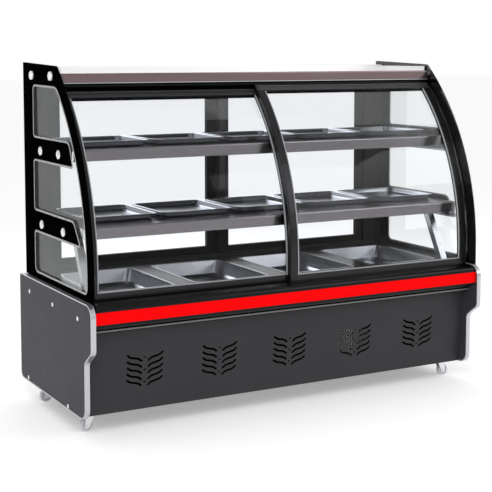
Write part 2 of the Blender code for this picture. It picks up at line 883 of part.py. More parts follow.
def brackets(prefix, top, front, bolts):
    """An L-shaped bracket inside each side glass, clamped through it by two capped bolts."""
    ledge = top - SHEET - FIT
    plate_in = GLASS_IN - FIT - 0.003
    inner = GLASS_IN - 0.040
    outline = [
        (inner, ledge - 0.004),
        (plate_in, ledge - 0.004),
        (plate_in, top - FASCIA + 0.004),
        (GLASS_IN - FIT, top - FASCIA + 0.004),
        (GLASS_IN - FIT, ledge),
        (inner, ledge),
    ]
    for side, sign in (("left", -1), ("right", 1)):
        shape = outline if sign > 0 else mirrored(outline)
        name = f"{prefix}_bracket_{side}"
        start = front + SHEET + 0.004
        end = SHELF_BACK - SHEET - 0.004
        bracket = as_mesh(prism(name, shape, "Y", start, end, steel()))
        for y, z in bolts:
            join(bracket, clamp_bolt("clamp_bolt", sign, y, z, plate_in + 0.001, steel()))


def shelves():
    places = bolt_places()
    front = shelf("upper_shelf", UPPER_SHELF)
    brackets("upper", UPPER_SHELF, front, places[2:4])
    front = shelf("lower_shelf", LOWER_SHELF)
    brackets("lower", LOWER_SHELF, front, places[4:6])
    half = POST_WIDTH / 2
    box(
        "centre_post",
        (-half, FRAME_FRONT - FIT - POST_DEPTH, LOWER_SHELF - FASCIA - 0.010),
        (half, FRAME_FRONT - FIT, TOP_PANEL - FIT),
        black_profile(),
    )


def struts():
    """Slanted bars at both ends, from the deck up under the lower shelf's brackets."""
    low = DECK_TOP + FIT
    high = LOWER_SHELF - SHEET - 0.004 - 2 * FIT
    foot = STRUT_FOOT_Y
    head = foot + (high - low) * STRUT_SLOPE
    half = STRUT_DEPTH / 2
    outline = [(foot - half, low), (foot + half, low), (head + half, high), (head - half, high)]
    outer = GLASS_IN - 0.021
    prism("strut_left", outline, "X", -outer, STRUT_WIDTH - outer, steel())
    prism("strut_right", outline, "X", outer - STRUT_WIDTH, outer, steel())


# ---------------------------------------------------------------- top


def top():
    """The steel header over the front doors, the sunk top panel behind it and the lamp below that."""
    rib = OUTER_DOOR + RUN + 0.007
    behind = curve_y(rib, HEADER_BOTTOM) - 0.003
    face = behind - 0.0085
    deep = face + 0.022
    outline = rounded(
        [
            (behind, HEADER_BOTTOM, 0),
            (behind, HEADER_BOTTOM + SHEET, 0),
            (face + SHEET, HEADER_BOTTOM + SHEET, 0),
            (face + SHEET, HEADER_TOP - SHEET, 0),
            (deep, HEADER_TOP - SHEET, 0),
            (deep, HEADER_TOP, 0),
            (face, HEADER_TOP, 0.004),
            (face, HEADER_BOTTOM, 0.002),
        ],
        3,
    )
    prism("front_header", outline, "X", -INSIDE, INSIDE, steel())
    wide = GLASS_IN - FIT
    panel = open_box(
        "top_panel", (-wide, deep + FIT, TOP_PANEL), (wide, FRAME_FRONT - FIT, HEIGHT - TOP_WALL_DROP),
        SHEET, [(0, 0, 1), (0, -1, 0)], steel(),
    )
    for sign in (-1, 1):
        for y, z in bolt_places()[:2]:
            join(panel, clamp_bolt("top_bolt", sign, y, z, wide - 0.001, steel()))
    lamp_y = deep + 0.075
    body = rectangle(lamp_y - 0.016, TOP_PANEL - 0.016, lamp_y + 0.016, TOP_PANEL - FIT)
    half = LAMP_LENGTH / 2
    prism("lamp_housing", body, "X", -half, half, bright_trim())
    low = TOP_PANEL - 0.016 - FIT
    steps = 8
    lens = [
        (lamp_y + 0.014 * math.cos(math.pi * k / steps), low - 0.010 * math.sin(math.pi * k / steps))
        for k in range(steps + 1)
    ]
    prism("lamp_cover", lens[::-1], "X", -half, half, material("lamp_cover", (0.9, 0.9, 0.88), 0.5))


# ---------------------------------------------------------------- rear


def rear_frame():
    low = TANK_TOP + FIT
    high = HEIGHT - FRAME_TOP_DROP
    open_half = INSIDE - JAMB
    open_high = HEIGHT - REAR_OPENING_DROP
    outline = rectangle(-INSIDE, low, INSIDE, high)
    opening = rectangle(-open_half, REAR_OPENING_LOW, open_half, open_high)
    frame = as_mesh(prism("rear_frame", outline, "Y", FRAME_FRONT, GLASS_BACK, black_profile(), [opening]))
    for i, y in enumerate(channel_starts()):
        channel = box(
            f"channel_{i}",
            (-open_half - CHANNEL_BITE, y, REAR_OPENING_LOW - CHANNEL_RISE),
            (open_half + CHANNEL_BITE, y + CHANNEL_WIDTH, open_high + CHANNEL_RISE),
        )
        cut(frame, channel)


def channel_starts():
    lip = (FRAME_DEPTH - 2 * CHANNEL_WIDTH) / 3
    return (FRAME_FRONT + lip, FRAME_FRONT + 2 * lip + CHANNEL_WIDTH)


def rear_door(name, track, x0, x1):
    """A flat door: frame with a glazing groove, a finger pull on the server's side, and its glass."""
    low = REAR_OPENING_LOW - CHANNEL_RISE + RUN
    high = HEIGHT - REAR_OPENING_DROP + CHANNEL_RISE - 0.004
    front = channel_starts()[track] + (CHANNEL_WIDTH - REAR_DOOR_THICK) / 2
    back = front + REAR_DOOR_THICK
    stile = REAR_STILE
    outline = rectangle(x0, low, x1, high)
    hole = rectangle(x0 + stile, low + stile, x1 - stile, high - stile)
    frame = as_mesh(prism(name + "_frame", outline, "Y", front, back, black_profile(), [hole]))
    middle = (front + back) / 2

    def pane(label, grow, half, finish=None):
        corners = (
            (x0 + stile - grow, middle - half, low + stile - grow),
            (x1 - stile + grow, middle + half, high - stile + grow),
        )
        return box(label, *corners, finish)

    pull_x = x0 + stile / 2 if x0 < -stile else x1 - stile / 2
    pull = box(name + "_pull", (pull_x - 0.010, back - 0.007, 0.86), (pull_x + 0.010, back + 0.01, 0.98))
    cut(frame, pane(name + "_groove", GLASS_BITE, DOOR_GLASS / 2 + FIT), pull)
    pane(name + "_glass", GLASS_BITE - FIT, DOOR_GLASS / 2, clear_glass())


def rear_doors():
    reach = INSIDE - JAMB + CHANNEL_BITE - 0.002
    rear_door("rear_door_left", 1, -reach, REAR_OVERLAP)
    rear_door("rear_door_right", 0, -REAR_OVERLAP, reach)


CONTROL_X = -0.56
CONTROL_Z = 0.425
CONTROL_HALF = (0.100, 0.040)
SWITCH_X = CONTROL_X + 0.055
KNOB_X = CONTROL_X - 0.050
SWITCH_HALF = (0.011, 0.016)
SWITCH_TILT = math.radians(7)
INLET = (0.700, 0.140)


def rear_panel():
    """The machine compartment's back sheet, with louvre slots and cut-outs for the controls and the inlet."""
    outline = rectangle(-BETWEEN, PANEL_BOTTOM + 0.002, BETWEEN, TANK_TOP - 0.001)
    holes = [
        rectangle(CONTROL_X - 0.07, CONTROL_Z - 0.025, CONTROL_X + 0.09, CONTROL_Z + 0.025),
        rectangle(INLET[0] - 0.016, INLET[1] - 0.012, INLET[0] + 0.016, INLET[1] + 0.012),
    ]
    for column in range(4):
        x = -0.10 + 0.155 * column
        for row in range(9):
            z = 0.125 + 0.020 * row
            holes.append(rectangle(x, z, x + 0.120, z + 0.007))
    prism("rear_panel", outline, "Y", REAR_PANEL - SHEET, REAR_PANEL, dark_paint(), holes)


def controls():
    """Control plate with a thermostat knob and a rocker switch for the lamp, and the power inlet."""
    plastic = material("control_plastic", (0.03, 0.03, 0.032), 0.4)
    back = REAR_PANEL + FIT
    face = back + 0.008
    wide, tall = CONTROL_HALF
    corners = ((CONTROL_X - wide, back, CONTROL_Z - tall), (CONTROL_X + wide, face, CONTROL_Z + tall))
    plate = box("control_panel", *corners, plastic)
    half_x, half_z = SWITCH_HALF
    well = box(
        "switch_well",
        (SWITCH_X - half_x - RUN / 2, back - 0.01, CONTROL_Z - half_z - RUN),
        (SWITCH_X + half_x + RUN / 2, face + 0.01, CONTROL_Z + half_z + RUN),
    )
    shaft = rod(
        "knob_hole", 0.0036, (KNOB_X, back - 0.01, CONTROL_Z), (KNOB_X, face + 0.01, CONTROL_Z), None, 16
    )
    cut(plate, well, shaft)

    knob = turned(
        "thermostat_knob",
        [(0.0, 0.011), (0.012, 0.011), (0.0135, 0.009), (0.015, 0.0), (0.0034, 0.0), (0.0034, -0.010), (0.0, -0.010)],
        plastic,
    )
    knob.rotation_euler = (-math.pi / 2, 0, 0)
    knob.location = (KNOB_X, face + FIT, CONTROL_Z)
    pointer = box("pointer", (-0.0015, 0.002, 0.004), (0.0015, 0.0145, 0.0112))
    pointer.rotation_euler = knob.rotation_euler
    pointer.location = (KNOB_X, face + FIT + 0.0076, CONTROL_Z + 0.008)
    join(knob, pointer)

    rocker_outline = [
        (-0.007, -0.006),
        (0.000, -0.0135),
        (0.0035, -0.0145),
        (0.0015, 0.0),
        (0.0035, 0.0145),
        (0.000, 0.0135),
        (-0.007, 0.006),
    ]
    lean = (math.cos(SWITCH_TILT), math.sin(SWITCH_TILT))
    rocker_outline = [(u * lean[0] - v * lean[1], u * lean[1] + v * lean[0]) for u, v in rocker_outline]
    rocker = prism("lamp_switch", rocker_outline, "X", -half_x, half_x, plastic)
    rocker.location = (SWITCH_X, face - 0.001, CONTROL_Z)

    x, z = INLET
    inlet = box("power_inlet", (x - 0.025, back, z - 0.018), (x + 0.025, back + 0.003, z + 0.018), plastic)
    join(inlet, box("inlet_body", (x - 0.0155, back - 0.022, z - 0.0115), (x + 0.0155, back + 0.001, z + 0.0115)))
    cut(inlet, box("inlet_mouth", (x - 0.012, back - 0.017, z - 0.008), (x + 0.012, back + 0.01, z + 0.008)))
    for offset, lift in ((-0.007, -0.002), (0.0, 0.002), (0.007, -0.002)):
        join(
            inlet,
            box(
                "inlet_pin",
                (x + offset - 0.0015, back - 0.018, z + lift - 0.002),
                (x + offset + 0.0015, back - 0.003, z + lift + 0.002),
            ),
        )


# ---------------------------------------------------------------- condensing unit


def comb(start, end, low, root, high, teeth, share=0.45):
    """A fin block's outline: a base from low to root with evenly spaced fins up to high."""
    pitch = (end - start) / (teeth - 1 + share)
    points = [(start, low), (end, low)]
    for k in reversed(range(teeth)):
        u = start + k * pitch
        points += [(u + share * pitch, high), (u, high)]
        if k:
            points += [(u, root), (u - (1 - share) * pitch, root)]
    return points


def condensing_unit():
    """Finned condenser behind the vents, the fan in its shroud, its motor, and the compressor."""
    floor = BASE_TOP + FIT
    metal = material("unit_metal", (0.45, 0.46, 0.47), 0.4, 0.9)
    black = material("unit_black", (0.02, 0.02, 0.02), 0.45)
    half = 0.130
    low = floor
    high = floor + 0.185
    core_front = panel_y(BASE_TOP) + 0.045
    core_back = core_front + 0.045
    axis_z = (low + high) / 2
    fins = comb(UNIT_X - half, UNIT_X + half, core_back, core_back - 0.004, core_front, 22)
    prism("condenser", fins, "Z", low, high, metal)

    fan_y = core_back + 0.020
    hub = turned(
        "condenser_fan",
        [(0.020, 0.009), (0.020, -0.009), (AXLE_RADIUS + AXLE_PLAY, -0.009), (AXLE_RADIUS + AXLE_PLAY, 0.009), (0.020, 0.009)],
        black,
    )
    hub.rotation_euler = (math.pi / 2, 0, 0)
    hub.location = (UNIT_X, fan_y, axis_z)
    for k in range(5):
        angle = 2 * math.pi * k / 5
        reach = (0.018 + FAN_RADIUS) / 2
        blade = box("blade", (-0.024, -0.001, -(FAN_RADIUS - 0.018) / 2), (0.024, 0.001, (FAN_RADIUS - 0.018) / 2))
        blade.rotation_mode = "YXZ"
        blade.matrix_world = (
            translation(UNIT_X, fan_y, axis_z) @ turn_y(angle) @ translation(0, 0, reach) @ turn_z(math.radians(20))
        )
        join(hub, blade)

    motor = rod(
        "fan_motor", 0.032, (UNIT_X, fan_y + 0.020, axis_z), (UNIT_X, fan_y + 0.075, axis_z), black
    )
    shaft = rod("motor_shaft", AXLE_RADIUS, (UNIT_X, fan_y - 0.009, axis_z), (UNIT_X, fan_y + 0.03, axis_z))
    outline = rectangle(UNIT_X - half - 0.003, low, UNIT_X + half + 0.003, high + 0.003)
    throat = [(u + UNIT_X, v + axis_z) for u, v in circle(0, 0, FAN_RADIUS + 0.006, 32)]
    shroud = prism("shroud", outline, "Y", core_back + FIT, core_back + 0.035, None, [throat])
    bar_y = core_back + 0.033
    bar = box("motor_bar", (UNIT_X - half, bar_y, axis_z - 0.009), (UNIT_X + half, bar_y + 0.006, axis_z + 0.009))
    join(motor, shaft, bar, shroud)
    smooth(motor)

    r = COMPRESSOR_RADIUS
    dome = turned(
        "compressor",
        [
            (0.0, 0.160),
            (r * 0.45, 0.156),
            (r * 0.78, 0.142),
            (r * 0.95, 0.120),
            (r, 0.095),
            (r + 0.004, 0.090),
            (r + 0.004, 0.084),
            (r, 0.080),
            (r, 0.030),
            (r * 0.88, 0.014),
            (r * 0.6, 0.008),
            (0.0, 0.006),
        ],
        black,
    )
    centre = (PIPE_X - r - 0.045, PIPE_Y, floor)
    dome.location = centre
    foot = box("compressor_foot", (-0.085, -0.060, 0.0), (0.085, 0.060, 0.012))
    foot.location = (centre[0], centre[1], floor + 0.006)
    terminal = box("terminal_box", (-0.110, -0.030, 0.050), (-0.060, 0.030, 0.105))
    terminal.location = (centre[0] - 0.085, centre[1], floor + 0.0775)
    join(dome, foot, terminal)

    level = TANK_BOTTOM + TANK_WALL + FIT + LINER + FIT
    fins = comb(-0.55, 0.55, level, level + 0.010, level + 0.075, 34, 0.4)
    prism("evaporator", fins, "Y", -0.09, 0.17, material("fins", (0.7, 0.71, 0.72), 0.35, 0.9))

    start = (centre[0] + r * 0.985, PIPE_Y, floor + 0.110)
    pipe(
        "suction_line",
        [
            (start[0] + 0.003, PIPE_Y, start[2]),
            (PIPE_X - 0.012, PIPE_Y, start[2]),
            (PIPE_X, PIPE_Y, start[2] + 0.012),
            (PIPE_X, PIPE_Y, level + 0.033),
            (PIPE_X - 0.012, PIPE_Y, level + 0.045),
            (0.55 + FIT, PIPE_Y, level + 0.045),
        ],
        PIPE_RADIUS,
        material("copper", (0.7, 0.36, 0.22), 0.35, 1.0),
    )


def pipe(name, points, radius, finish):
    curve = bpy.data.curves.new(name, "CURVE")
    curve.dimensions = "3D"
    curve.bevel_depth = radius
    curve.bevel_resolution = 2
    curve.use_fill_caps = True
    spline = curve.splines.new("POLY")
    spline.points.add(len(points) - 1)
    for point, place in zip(spline.points, points):
        point.co = (*place, 1)
    return add(name, curve, finish)


def translation(x, y, z):
    return Matrix.Translation((x, y, z))


def turn_y(angle):
    return Matrix.Rotation(angle, 4, "Y")


def turn_z(angle):
    return Matrix.Rotation(angle, 4, "Z")


# ---------------------------------------------------------------- casters


def caster_places():
    x = HALF - CASTER_X_INSET
    return [(-x, CASTER_FRONT_Y), (x, CASTER_FRONT_Y), (-x, CASTER_BACK_Y), (x, CASTER_BACK_Y)]


def casters():
    """Swivelling forks under the plates; each wheel's axle is offset by the trail."""
    names = ("front_left", "front_right", "back_left", "back_right")
    rubber = material("caster_tread", (0.55, 0.55, 0.55), 0.5)
    for name, (x, y) in zip(names, caster_places()):
        trail_way = -1 if x < 0 else 1
        caster_fork(name, x, y, trail_way)
        caster_wheel(name, x + trail_way * TRAIL, y, rubber)


def caster_fork(name, x, y, trail_way):
    top = BASE_BOTTOM - CASTER_PLATE - FIT
    gap = WHEEL_WIDTH / 2 + RUN
    cheek = 0.002
    fork = rod("caster_fork_" + name, 0.018, (x, y, top - 0.005), (x, y, top), steel())
    reach = trail_way * TRAIL
    outline = [(-0.015, top - 0.0045), (-0.015, top - 0.012), (TRAIL - 0.010, WHEEL_RADIUS - 0.006)]
    outline += [(TRAIL - 0.004, WHEEL_RADIUS - 0.010), (TRAIL + 0.004, WHEEL_RADIUS - 0.010)]
    outline += [(TRAIL + 0.010, WHEEL_RADIUS - 0.004), (0.020, top - 0.012), (0.015, top - 0.0045)]
    if trail_way < 0:
        outline = mirrored(outline)
    outline = [(u + x, v) for u, v in outline]
    bridge = box(
        "fork_bridge", (x - 0.015, y - gap - cheek, top - 0.0065), (x + 0.015, y + gap + cheek, top - 0.0030)
    )
    axle = rod(
        "fork_axle",
        AXLE_RADIUS,
        (x + reach, y - gap - cheek - 0.002, WHEEL_RADIUS),
        (x + reach, y + gap + cheek + 0.002, WHEEL_RADIUS),
    )
    join(fork, bridge)
    for start in (y - gap - cheek, y + gap):
        join(fork, prism("fork_cheek", outline, "Y", start, start + cheek))
    join(fork, axle)


def caster_wheel(name, x, y, finish):
    w = WHEEL_WIDTH / 2
    r = WHEEL_RADIUS
    bore = AXLE_RADIUS + AXLE_PLAY
    profile = [
        (bore, w),
        (0.008, w),
        (0.009, w - 0.003),
        (r - 0.007, w - 0.003),
        (r - 0.006, w),
        (r - 0.002, w),
        (r, w - 0.002),
        (r, -w + 0.002),
        (r - 0.002, -w),
        (r - 0.006, -w),
        (r - 0.007, -w + 0.003),
        (0.009, -w + 0.003),
        (0.008, -w),
        (bore, -w),
        (bore, w),
    ]
    wheel = turned("caster_wheel_" + name, profile, finish)
    wheel.rotation_euler = (math.pi / 2, 0, 0)
    wheel.location = (x, y, r)
    smooth(wheel)


def main():
    start_scene()
    ends()
    front_sill()
    front_panel()
    front_doors()
    front_top_track()
    top()
    base_frame()
    tank()
    deck()
    deck_pans()
    shelves()
    struts()
    rear_frame()
    rear_doors()
    rear_panel()
    controls()
    condensing_unit()
    casters()


main()
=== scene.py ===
"""Looks of the refrigerated deli case: materials, print on the glass, trays, seals drawn light grey as painted
highlights, caps, lights and camera.
"""
import math

import bmesh
import bpy
from mathutils import Matrix, Vector


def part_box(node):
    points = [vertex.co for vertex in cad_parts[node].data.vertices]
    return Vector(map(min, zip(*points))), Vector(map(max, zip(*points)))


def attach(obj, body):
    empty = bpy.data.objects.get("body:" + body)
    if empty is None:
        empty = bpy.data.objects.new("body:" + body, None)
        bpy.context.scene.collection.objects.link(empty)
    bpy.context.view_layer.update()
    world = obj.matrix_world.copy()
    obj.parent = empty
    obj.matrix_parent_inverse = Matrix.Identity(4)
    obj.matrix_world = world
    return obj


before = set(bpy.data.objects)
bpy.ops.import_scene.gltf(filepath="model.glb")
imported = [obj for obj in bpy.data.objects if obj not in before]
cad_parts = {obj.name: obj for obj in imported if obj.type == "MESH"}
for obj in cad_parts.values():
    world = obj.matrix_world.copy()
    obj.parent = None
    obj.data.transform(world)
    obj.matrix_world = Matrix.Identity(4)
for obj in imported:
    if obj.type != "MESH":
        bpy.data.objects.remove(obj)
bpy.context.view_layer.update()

# ---------------------------------------------------------------- sizes read from the CAD
GLASS_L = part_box("side_glass_left")
GLASS_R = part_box("side_glass_right")
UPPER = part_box("upper_shelf")
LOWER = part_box("lower_shelf")
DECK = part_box("deck_plate")
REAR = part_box("rear_frame")
TOP_PANEL_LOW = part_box("top_panel")[0][2]
TRIM_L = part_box("end_trim_left")
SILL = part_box("front_sill")
HEADER_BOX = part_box("front_header")

HEIGHT = 1.400
TOP_SLOPE = 0.0135
ARC_BASE = 0.602
GLASS_FRONT = GLASS_L[0][1]
ARC_RISE = HEIGHT - ARC_BASE
ARC_SETBACK = 0.3737
ARC_RADIUS = (ARC_RISE**2 + ARC_SETBACK**2) / (2 * ARC_SETBACK)
ARC_Y = GLASS_FRONT + ARC_RADIUS
OUTER_DOOR = ARC_RADIUS - 0.058
DOOR_THICK = 0.018
INNER_DOOR = OUTER_DOOR - DOOR_THICK - 0.005
RAIL = 0.030
TOP_RAIL = 0.047
STILE = 0.035
DOOR_TOP = math.asin((HEADER_BOX[0][2] - 0.009 - ARC_BASE) / OUTER_DOOR)


# ---------------------------------------------------------------- materials
def new_material(name):
    mat = bpy.data.materials.new(name)
    mat.use_nodes = True
    return mat, mat.node_tree, mat.node_tree.nodes["Principled BSDF"]


def node(tree, kind, **settings):
    made = tree.nodes.new(kind)
    for key, value in settings.items():
        if key in made.inputs:
            made.inputs[key].default_value = value
        else:
            setattr(made, key, value)
    return made


def mapped(tree, scale):
    """Object coordinates stretched by a scale per axis."""
    coord = tree.nodes.new("ShaderNodeTexCoord")
    mapping = tree.nodes.new("ShaderNodeMapping")
    mapping.inputs["Scale"].default_value = scale
    tree.links.new(coord.outputs["Object"], mapping.inputs["Vector"])
    return mapping.outputs["Vector"]


def ramp(tree, source, stops):
    made = tree.nodes.new("ShaderNodeValToRGB")
    elements = made.color_ramp.elements
    elements[0].position, elements[1].position = stops[0][0], stops[-1][0]
    for _ in stops[1:-1]:
        elements.new(0.5)
    for element, (place, colour) in zip(elements, stops):
        element.position = place
        element.color = (*colour, 1.0) if len(colour) == 3 else colour
    tree.links.new(source, made.inputs["Fac"])
    return made.outputs["Color"]


def noise(tree, scale, vector=None, detail=4.0, roughness=0.55):
    made = node(tree, "ShaderNodeTexNoise", Scale=scale, Detail=detail, Roughness=roughness)
    if vector is None:
        vector = mapped(tree, (1, 1, 1))
    tree.links.new(vector, made.inputs["Vector"])
    return made.outputs["Fac"]


def bump(tree, shader, height, strength, distance=0.001):
    made = node(tree, "ShaderNodeBump", Strength=strength, Distance=distance)
    tree.links.new(height, made.inputs["Height"])
    tree.links.new(made.outputs["Normal"], shader.inputs["Normal"])


def ranged(tree, source, low, high):
    made = node(tree, "ShaderNodeMapRange")
    made.inputs["To Min"].default_value = low
    made.inputs["To Max"].default_value = high
    tree.links.new(source, made.inputs["Value"])
    return made.outputs["Result"]


def varied(tree, shader, colour, spread, source):
    darker = tuple(c * (1 - spread) for c in colour)
    lighter = tuple(min(1.0, c * (1 + spread)) for c in colour)
    tree.links.new(ramp(tree, source, [(0.3, darker), (0.7, lighter)]), shader.inputs["Base Color"])


def paint(name, colour, rough=0.42, spread=0.05, peel=0.12, coat=0.0, specular=0.22):
    """Powder coat: fine orange peel, slight cloudiness and uneven gloss."""
    mat, tree, shader = new_material(name)
    varied(tree, shader, colour, spread, noise(tree, 3.0))
    tree.links.new(ranged(tree, noise(tree, 14.0), rough - 0.05, rough + 0.06), shader.inputs["Roughness"])
    shader.inputs["Coat Weight"].default_value = coat
    shader.inputs["Coat Roughness"].default_value = 0.25
    shader.inputs["Specular IOR Level"].default_value = specular
    bump(tree, shader, noise(tree, 900.0, None, 2.0), peel, 0.0003)
    return mat


def brushed(name, colour, rough=0.28, axis="X", spread=0.06, strength=0.10, metallic=1.0):
    """Steel with long hair lines along one axis."""
    mat, tree, shader = new_material(name)
    scale = {"X": (2, 320, 320), "Y": (320, 2, 320), "Z": (320, 320, 2)}[axis]
    lines = noise(tree, 2.2, mapped(tree, scale), 3.0, 0.6)
    varied(tree, shader, colour, spread, lines)
    shader.inputs["Metallic"].default_value = metallic
    tree.links.new(ranged(tree, lines, rough - 0.07, rough + 0.09), shader.inputs["Roughness"])
    shader.inputs["Anisotropic"].default_value = 0.45
    bump(tree, shader, lines, strength, 0.0002)
    return mat


def anodised(name, colour, rough=0.3, axis="X", metallic=0.7, specular=0.5):
    """Extruded aluminium, anodised: faint die lines along its length."""
    mat, tree, shader = new_material(name)
    scale = {"X": (1, 260, 260), "Z": (260, 260, 1)}[axis]
    lines = noise(tree, 2.0, mapped(tree, scale), 2.0)
    varied(tree, shader, colour, 0.15, lines)
    shader.inputs["Metallic"].default_value = metallic
    shader.inputs["Specular IOR Level"].default_value = specular
    tree.links.new(ranged(tree, noise(tree, 9.0), rough - 0.05, rough + 0.07), shader.inputs["Roughness"])
    bump(tree, shader, lines, 0.08, 0.0002)
    return mat


def plastic(name, colour, rough=0.45, grain=700.0, strength=0.15, specular=0.5):
    mat, tree, shader = new_material(name)
    shader.inputs["Specular IOR Level"].default_value = specular
    varied(tree, shader, colour, 0.06, noise(tree, 25.0))
    tree.links.new(ranged(tree, noise(tree, 60.0), rough - 0.05, rough + 0.08), shader.inputs["Roughness"])
    bump(tree, shader, noise(tree, grain, None, 2.0), strength, 0.0002)
    return mat


def clear(name, tint, gloss=1.0):
    """Pane glass: see-through head on and mirror-like at grazing angles, with a faint uneven film."""
    mat = bpy.data.materials.new(name)
    mat.use_nodes = True
    tree = mat.node_tree
    tree.nodes.remove(tree.nodes["Principled BSDF"])
    out = tree.nodes["Material Output"]
    through = node(tree, "ShaderNodeBsdfTransparent", Color=(*tint, 1.0))
    mirror = node(tree, "ShaderNodeBsdfGlossy", Roughness=0.0)
    film = ramp(tree, noise(tree, 5.0, None, 3.0), [(0.3, (0.93, 0.94, 0.94)), (0.7, (1.0, 1.0, 1.0))])
    tree.links.new(film, mirror.inputs["Color"])
    fresnel = node(tree, "ShaderNodeFresnel", IOR=1.45)
    share = node(tree, "ShaderNodeMath", operation="MULTIPLY")
    share.inputs[1].default_value = gloss
    tree.links.new(fresnel.outputs["Fac"], share.inputs[0])
    mix = tree.nodes.new("ShaderNodeMixShader")
    tree.links.new(share.outputs[0], mix.inputs["Fac"])
    tree.links.new(through.outputs[0], mix.inputs[1])
    tree.links.new(mirror.outputs[0], mix.inputs[2])
    tree.links.new(mix.outputs[0], out.inputs["Surface"])
    return mat


def glowing(name, colour, strength):
    mat, tree, shader = new_material(name)
    varied(tree, shader, colour, 0.03, noise(tree, 30.0))
    shader.inputs["Roughness"].default_value = 0.5
    shader.inputs["Emission Color"].default_value = (1.0, 0.98, 0.94, 1.0)
    shader.inputs["Emission Strength"].default_value = strength
    return mat


def dotted_silver(name):
    """Printed silver line broken up into a rough row of dots."""
    mat, tree, shader = new_material(name)
    cells = node(tree, "ShaderNodeTexVoronoi", Scale=520.0)
    tree.links.new(mapped(tree, (1, 1, 1)), cells.inputs["Vector"])
    tree.links.new(
        ramp(tree, cells.outputs["Distance"], [(0.35, (0.66, 0.67, 0.69)), (0.62, (0.10, 0.10, 0.11))]),
        shader.inputs["Base Color"],
    )
    shader.inputs["Roughness"].default_value = 0.4
    shader.inputs["Metallic"].default_value = 0.3
    bump(tree, shader, cells.outputs["Distance"], 0.2, 0.0002)
    return mat


END_PAINT = paint("end_board_paint", (0.047, 0.047, 0.055), 0.45, 0.04, 0.08, 0.0, 0.08)
PANEL_PAINT = paint("lower_panel_paint", (0.033, 0.033, 0.036), 0.46, 0.05, 0.12, 0.0, 0.15)
SILVER = brushed("silver_edge_trim", (0.50, 0.51, 0.54), 0.28, "Z", 0.06, 0.05, 0.85)
BLACK = anodised("black_anodised", (0.006, 0.006, 0.007), 0.20)
BLACK_UPRIGHT = anodised("black_anodised_upright", (0.022, 0.022, 0.024), 0.24, "Z")
REAR_BLACK = anodised("olive_black_anodised", (0.012, 0.0115, 0.009), 0.34, "Z", 0.5, 0.15)
RED = paint("red_insert", (0.86, 0.0, 0.001), 0.40, 0.02, 0.02, 0.0, 0.04)
HEADER = brushed("polished_header", (0.205, 0.150, 0.155), 0.14, "X", 0.04, 0.03)
SHELF_STEEL = brushed("shelf_steel", (0.190, 0.178, 0.184), 0.16, "X", 0.05, 0.04)
# deck steel drawn near black: painted shade for the dark gaps between the pans
DECK_STEEL_SHADED = brushed("deck_steel_painted_shade", (0.018, 0.018, 0.021), 0.20, "X", 0.10, 0.05, 0.8)
PAN_STEEL = brushed("pan_steel", (0.42, 0.43, 0.46), 0.22, "Y", 0.06, 0.06)
TRAY_STEEL = brushed("tray_steel", (0.40, 0.42, 0.46), 0.16, "Y", 0.05, 0.04)
PLAIN_STEEL = brushed("plain_steel", (0.42, 0.43, 0.45), 0.24, "X")
BRIGHT = brushed("bright_cap", (0.80, 0.81, 0.83), 0.16, "Z", 0.03, 0.02)
TOP_STEEL = brushed("top_steel", (0.94, 0.935, 0.95), 0.36, "X", 0.02, 0.04, 0.5)
GALVANISED = paint("galvanised_skin", (0.42, 0.43, 0.45), 0.45, 0.15)
SIDE_GLASS = clear("side_glass", (0.975, 0.985, 0.985), 0.16)
DOOR_GLASS = clear("door_glass", (0.985, 0.99, 0.995), 0.16)
REAR_GLASS = clear("rear_glass", (0.97, 0.975, 0.985), 0.16)
PRINT = plastic("printed_black", (0.0012, 0.0012, 0.0014), 0.25, 900.0, 0.02, 0.02)
PRINT.node_tree.nodes["Principled BSDF"].inputs["IOR"].default_value = 1.0  # printed ink has no gloss of its own
PRINT_LINE = dotted_silver("printed_silver_line")
LENS = glowing("lamp_lens", (0.92, 0.92, 0.90), 0.5)
CONTROL = plastic("control_plastic", (0.022, 0.022, 0.024), 0.42)
KNOB = plastic("knob_plastic", (0.03, 0.03, 0.033), 0.30)
CAP = plastic("screw_cap_plastic", (0.86, 0.86, 0.86), 0.35)
MARK = plastic("white_mark", (0.88, 0.88, 0.88), 0.40)
# real door seals, drawn light grey as a painted highlight along the glass edges
SEAL_HIGHLIGHT = plastic("door_seal_painted_highlight", (0.34, 0.35, 0.36), 0.45)
# grey for the thin strip on the sill bead: a painted highlight
BEAD_HIGHLIGHT_GREY = plastic("bead_painted_highlight", (0.15, 0.155, 0.15), 0.45)
RAIL_GREY = anodised("grey_rail", (0.055, 0.056, 0.057), 0.32, "X", 0.5)
UNIT_BLACK = paint("unit_black", (0.018, 0.018, 0.020), 0.38)
FINS = brushed("fin_metal", (0.55, 0.56, 0.57), 0.36, "Z")
COPPER = brushed("copper_tube", (0.72, 0.34, 0.20), 0.28, "Z")
CASTER_METAL = brushed("zinc_fork", (0.72, 0.73, 0.75), 0.24, "Z")
TREAD = plastic("nylon_wheel", (0.62, 0.62, 0.64), 0.35)


def give(names, mat):
    for name in names:
        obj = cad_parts[name]
        if not obj.material_slots:
            obj.data.materials.append(mat)
        for slot in obj.material_slots:
            slot.material = mat


